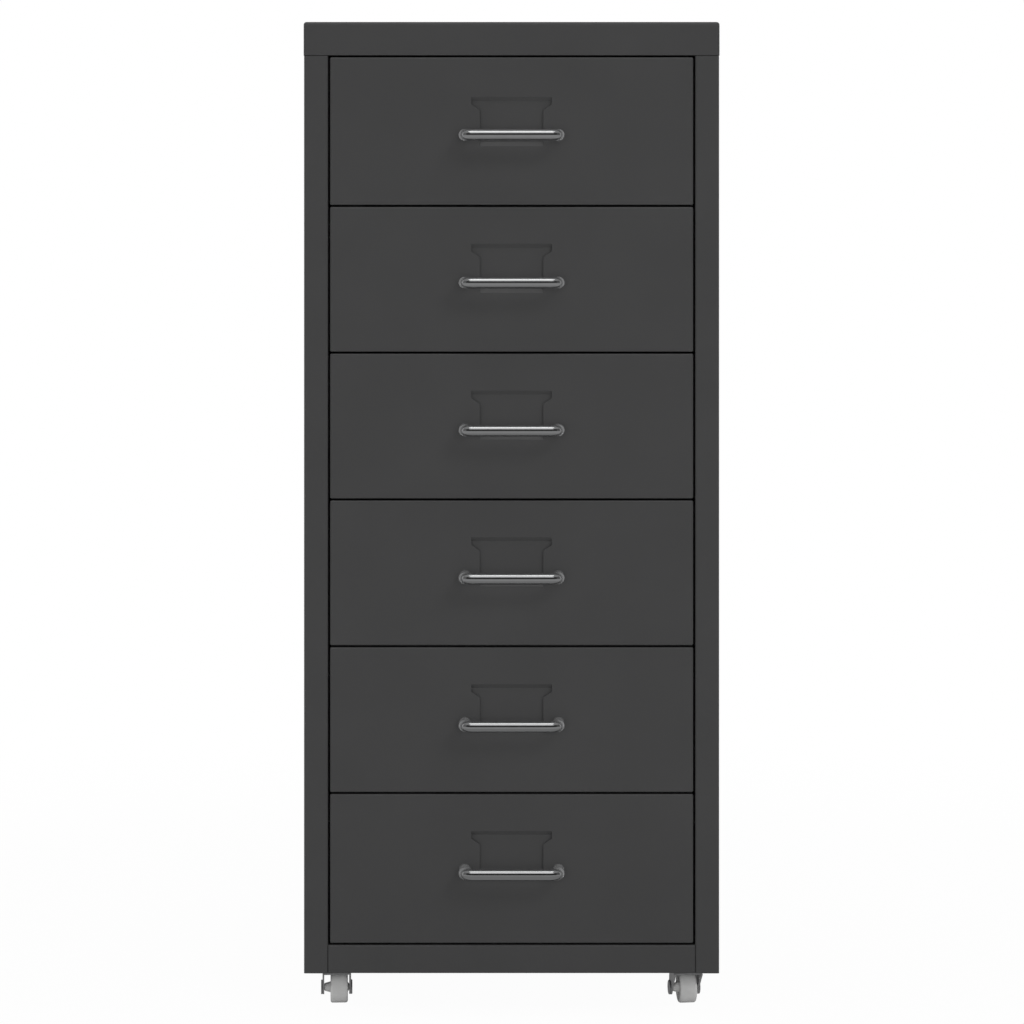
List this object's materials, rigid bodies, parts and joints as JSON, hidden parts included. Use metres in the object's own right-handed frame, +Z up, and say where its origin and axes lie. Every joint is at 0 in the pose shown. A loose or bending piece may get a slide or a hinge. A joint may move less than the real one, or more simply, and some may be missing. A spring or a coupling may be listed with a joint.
{
  "type": "metal drawer cabinet",
  "caption": "Narrow painted sheet-metal cabinet with a stack of equal sliding drawers, wire handles, pressed label pockets and small swivel casters.",
  "frame": {"origin": "on the floor under the middle of the object's box", "axes": "+Z up, +X to the right seen from the front, the drawers' fronts face -Y"},
  "size_m": [0.284, 0.4114, 0.6785],
  "materials": {
    "painted_sheet": "smooth anthracite powder coat, satin",
    "chromed_wire": "polished chrome plate",
    "zinc_screw": "zinc plate",
    "caster_metal": "dull zinc plate",
    "wheel_plastic": "smooth grey nylon"
  },
  "bodies": {
    "carcass": {"top_cover": "painted_sheet", "base_pan": "painted_sheet", "back_panel": "painted_sheet", "side_panel_left": "painted_sheet", "side_panel_right": "painted_sheet", "runner_left_1": "painted_sheet", "runner_left_2": "painted_sheet", "runner_left_3": "painted_sheet", "runner_left_4": "painted_sheet", "runner_left_5": "painted_sheet", "runner_left_6": "painted_sheet", "runner_right_1": "painted_sheet", "runner_right_2": "painted_sheet", "runner_right_3": "painted_sheet", "runner_right_4": "painted_sheet", "runner_right_5": "painted_sheet", "runner_right_6": "painted_sheet", "caster_plate_front_left": "caster_metal", "caster_plate_front_right": "caster_metal", "caster_plate_rear_left": "caster_metal", "caster_plate_rear_right": "caster_metal", "caster_kingpins": "zinc_screw", "caster_screws": "zinc_screw", "panel_screws": "zinc_screw"},
    "drawer_1": {"drawer_front_1": "painted_sheet", "drawer_tray_1": "painted_sheet", "handle_1": "chromed_wire", "handle_screws_1": "zinc_screw"},
    "drawer_2": {"drawer_front_2": "painted_sheet", "drawer_tray_2": "painted_sheet", "handle_2": "chromed_wire", "handle_screws_2": "zinc_screw"},
    "drawer_3": {"drawer_front_3": "painted_sheet", "drawer_tray_3": "painted_sheet", "handle_3": "chromed_wire", "handle_screws_3": "zinc_screw"},
    "drawer_4": {"drawer_front_4": "painted_sheet", "drawer_tray_4": "painted_sheet", "handle_4": "chromed_wire", "handle_screws_4": "zinc_screw"},
    "drawer_5": {"drawer_front_5": "painted_sheet", "drawer_tray_5": "painted_sheet", "handle_5": "chromed_wire", "handle_screws_5": "zinc_screw"},
    "drawer_6": {"drawer_front_6": "painted_sheet", "drawer_tray_6": "painted_sheet", "handle_6": "chromed_wire", "handle_screws_6": "zinc_screw"},
    "fork_front_left": {"caster_fork_front_left": "caster_metal", "caster_axle_front_left": "caster_metal"},
    "wheel_front_left": {"caster_wheel_front_left": "wheel_plastic"},
    "fork_front_right": {"caster_fork_front_right": "caster_metal", "caster_axle_front_right": "caster_metal"},
    "wheel_front_right": {"caster_wheel_front_right": "wheel_plastic"},
    "fork_rear_left": {"caster_fork_rear_left": "caster_metal", "caster_axle_rear_left": "caster_metal"},
    "wheel_rear_left": {"caster_wheel_rear_left": "wheel_plastic"},
    "fork_rear_right": {"caster_fork_rear_right": "caster_metal", "caster_axle_rear_right": "caster_metal"},
    "wheel_rear_right": {"caster_wheel_rear_right": "wheel_plastic"}
  },
  "joints": [
    {"name": "drawer_1_slide", "type": "slide", "parent": "carcass", "child": "drawer_1", "axis": [0, -1, 0], "range_m": [0, 0.3]},
    {"name": "drawer_2_slide", "type": "slide", "parent": "carcass", "child": "drawer_2", "axis": [0, -1, 0], "range_m": [0, 0.3]},
    {"name": "drawer_3_slide", "type": "slide", "parent": "carcass", "child": "drawer_3", "axis": [0, -1, 0], "range_m": [0, 0.3]},
    {"name": "drawer_4_slide", "type": "slide", "parent": "carcass", "child": "drawer_4", "axis": [0, -1, 0], "range_m": [0, 0.3]},
    {"name": "drawer_5_slide", "type": "slide", "parent": "carcass", "child": "drawer_5", "axis": [0, -1, 0], "range_m": [0, 0.3]},
    {"name": "drawer_6_slide", "type": "slide", "parent": "carcass", "child": "drawer_6", "axis": [0, -1, 0], "range_m": [0, 0.3]},
    {"name": "swivel_front_left", "type": "hinge", "parent": "carcass", "child": "fork_front_left", "pos_m": [-0.121, -0.146, 0.0108], "axis": [0, 0, 1], "continuous": true},
    {"name": "roll_front_left", "type": "hinge", "parent": "fork_front_left", "child": "wheel_front_left", "pos_m": [-0.12152, -0.13601, 0.0108], "axis": [0.9986, 0.0523, 0], "continuous": true},
    {"name": "swivel_front_right", "type": "hinge", "parent": "carcass", "child": "fork_front_right", "pos_m": [0.121, -0.146, 0.0108], "axis": [0, 0, 1], "continuous": true},
    {"name": "roll_front_right", "type": "hinge", "parent": "fork_front_right", "child": "wheel_front_right", "pos_m": [0.11978, -0.13608, 0.0108], "axis": [0.9925, 0.1219, 0], "continuous": true},
    {"name": "swivel_rear_left", "type": "hinge", "parent": "carcass", "child": "fork_rear_left", "pos_m": [-0.121, 0.1697, 0.0108], "axis": [0, 0, 1], "continuous": true},
    {"name": "roll_rear_left", "type": "hinge", "parent": "fork_rear_left", "child": "wheel_rear_left", "pos_m": [-0.12013, 0.17966, 0.0108], "axis": [0.9962, -0.0872, 0], "continuous": true},
    {"name": "swivel_rear_right", "type": "hinge", "parent": "carcass", "child": "fork_rear_right", "pos_m": [0.121, 0.1697, 0.0108], "axis": [0, 0, 1], "continuous": true},
    {"name": "roll_rear_right", "type": "hinge", "parent": "fork_rear_right", "child": "wheel_rear_right", "pos_m": [0.1203, 0.17968, 0.0108], "axis": [0.9976, 0.0698, 0], "continuous": true}
  ]
}
